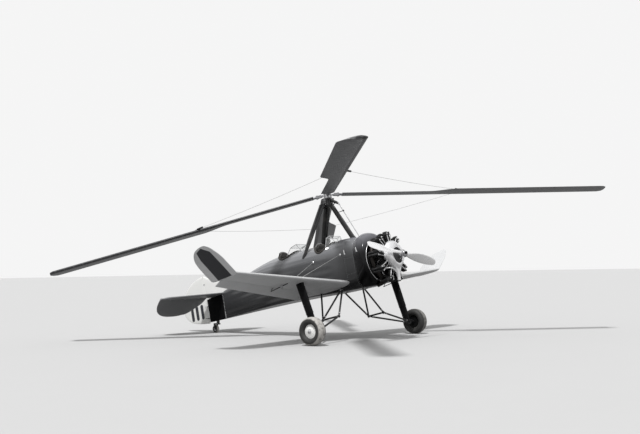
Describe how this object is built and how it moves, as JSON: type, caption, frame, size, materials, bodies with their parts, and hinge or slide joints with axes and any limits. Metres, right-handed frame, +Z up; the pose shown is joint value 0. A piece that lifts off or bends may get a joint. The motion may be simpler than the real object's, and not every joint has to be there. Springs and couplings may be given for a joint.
{
  "type": "gyrocopter",
  "caption": "Open two-seat tractor autogiro of the thirties parked nose-up on its wheels: free-turning drooped rotor on a pylon, stub wings with upturned tips, radial engine.",
  "frame": {"origin": "on the ground, at the middle of the parked aircraft's overall box, on its centre plane", "axes": "+X forward along the ground, +Y to the aircraft's left, +Z up"},
  "size_m": [10.3689, 10.418, 3.898],
  "materials": {
    "fuselage_dope": "glossy dark doped fabric over a frame",
    "silver_dope": "satin aluminium dope on fabric",
    "white_dope": "satin white dope on fabric with dark bars",
    "blade_dope": "satin grey fabric-covered blade",
    "bare_aluminium": "hand-polished sheet",
    "steel_black": "stove-enamelled steel tube",
    "steel_bright": "machined steel",
    "cylinder_black": "heat-dark finned iron",
    "crankcase": "cast light alloy",
    "propeller_metal": "polished forged blade",
    "coaming_leather": "padded dark leather",
    "seat_metal": "pressed sheet",
    "panel_black": "crackle-black panel",
    "screen": "thin clear sheet",
    "tyre": "smooth low-pressure rubber",
    "wheel_white": "gloss white disc",
    "floor_ply": "varnished ply boards"
  },
  "bodies": {
    "airframe": {"fuselage_cabin": "fuselage_dope", "fuselage_tail": "fuselage_dope", "cabin_floor": "floor_ply", "cockpit_coamings": "coaming_leather", "seats": "seat_metal", "windscreens": "screen", "instrument_panels": "panel_black", "control_sticks": "steel_black", "nose_cowl": "bare_aluminium", "engine_mount": "steel_black", "engine_crankcase": "crankcase", "engine_cylinders": "cylinder_black", "pylon_head": "steel_black", "pylon_rear_legs": "steel_black", "pylon_front_leg": "steel_black", "rotor_starter_shaft": "steel_bright", "fin": "white_dope", "stabilisers": "silver_dope", "left_wing": "silver_dope", "right_wing": "silver_dope", "wing_tips": "silver_dope", "landing_wires": "steel_bright", "picketing_lugs": "steel_bright", "gear_legs": "steel_black", "gear_knuckles": "steel_black", "gear_trusses": "steel_black", "axles": "steel_bright", "tail_wheel_socket": "steel_black"},
    "rotor": {"rotor_hub": "steel_bright", "blade_root_fittings": "steel_bright", "rotor_blades": "blade_dope"},
    "propeller": {"propeller_hub": "steel_bright", "propeller_blades": "propeller_metal"},
    "left_wheel": {"left_tyre": "tyre", "left_wheel_disc": "wheel_white"},
    "right_wheel": {"right_tyre": "tyre", "right_wheel_disc": "wheel_white"},
    "tail_caster": {"tail_wheel_fork": "steel_black"},
    "tail_wheel": {"tail_wheel_tyre": "tyre", "tail_wheel_hub": "steel_bright"},
    "left_aileron": {"left_aileron": "silver_dope"},
    "right_aileron": {"right_aileron": "silver_dope"},
    "elevator": {"elevator": "silver_dope"},
    "rudder": {"rudder": "white_dope"}
  },
  "joints": [
    {"name": "rotor_spin", "type": "hinge", "parent": "airframe", "child": "rotor", "pos_m": [-0.04447, 0, 3.43912], "axis": [-0.2028, 0, 0.9792], "continuous": true},
    {"name": "propeller_spin", "type": "hinge", "parent": "airframe", "child": "propeller", "pos_m": [2.11183, 0, 1.97701], "axis": [0.9792, 0, 0.2028], "continuous": true},
    {"name": "left_wheel_spin", "type": "hinge", "parent": "airframe", "child": "left_wheel", "pos_m": [1.07922, 2.045, 0.311], "axis": [0, 1, 0], "continuous": true},
    {"name": "right_wheel_spin", "type": "hinge", "parent": "airframe", "child": "right_wheel", "pos_m": [1.07922, -2.045, 0.311], "axis": [0, 1, 0], "continuous": true},
    {"name": "tail_caster_swivel", "type": "hinge", "parent": "airframe", "child": "tail_caster", "pos_m": [-3.82093, 0, 0.26255], "axis": [0, 0, 1], "continuous": true},
    {"name": "tail_wheel_spin", "type": "hinge", "parent": "tail_caster", "child": "tail_wheel", "pos_m": [-3.90593, 0, 0.105], "axis": [0, 1, 0], "continuous": true},
    {"name": "left_aileron_hinge", "type": "hinge", "parent": "airframe", "child": "left_aileron", "pos_m": [0.1155, 2.375, 1.30657], "axis": [0.0632, 0.9918, 0.1114], "range_deg": [-45, 5]},
    {"name": "right_aileron_hinge", "type": "hinge", "parent": "airframe", "child": "right_aileron", "pos_m": [0.1155, -2.375, 1.30657], "axis": [-0.0632, 0.9918, -0.1114], "range_deg": [-5, 45]},
    {"name": "elevator_hinge", "type": "hinge", "parent": "airframe", "child": "elevator", "pos_m": [-4.12266, 0, 0.94122], "axis": [0, 1, 0], "range_deg": [0, 55]},
    {"name": "rudder_hinge", "type": "hinge", "parent": "airframe", "child": "rudder", "pos_m": [-4.25941, 0, 0.86184], "axis": [-0.2028, 0, 0.9792], "range_deg": [-30, 30]}
  ],
  "couplings": [
    {"joint": "right_aileron_hinge", "follows": "left_aileron_hinge", "ratio": -1}
  ]
}
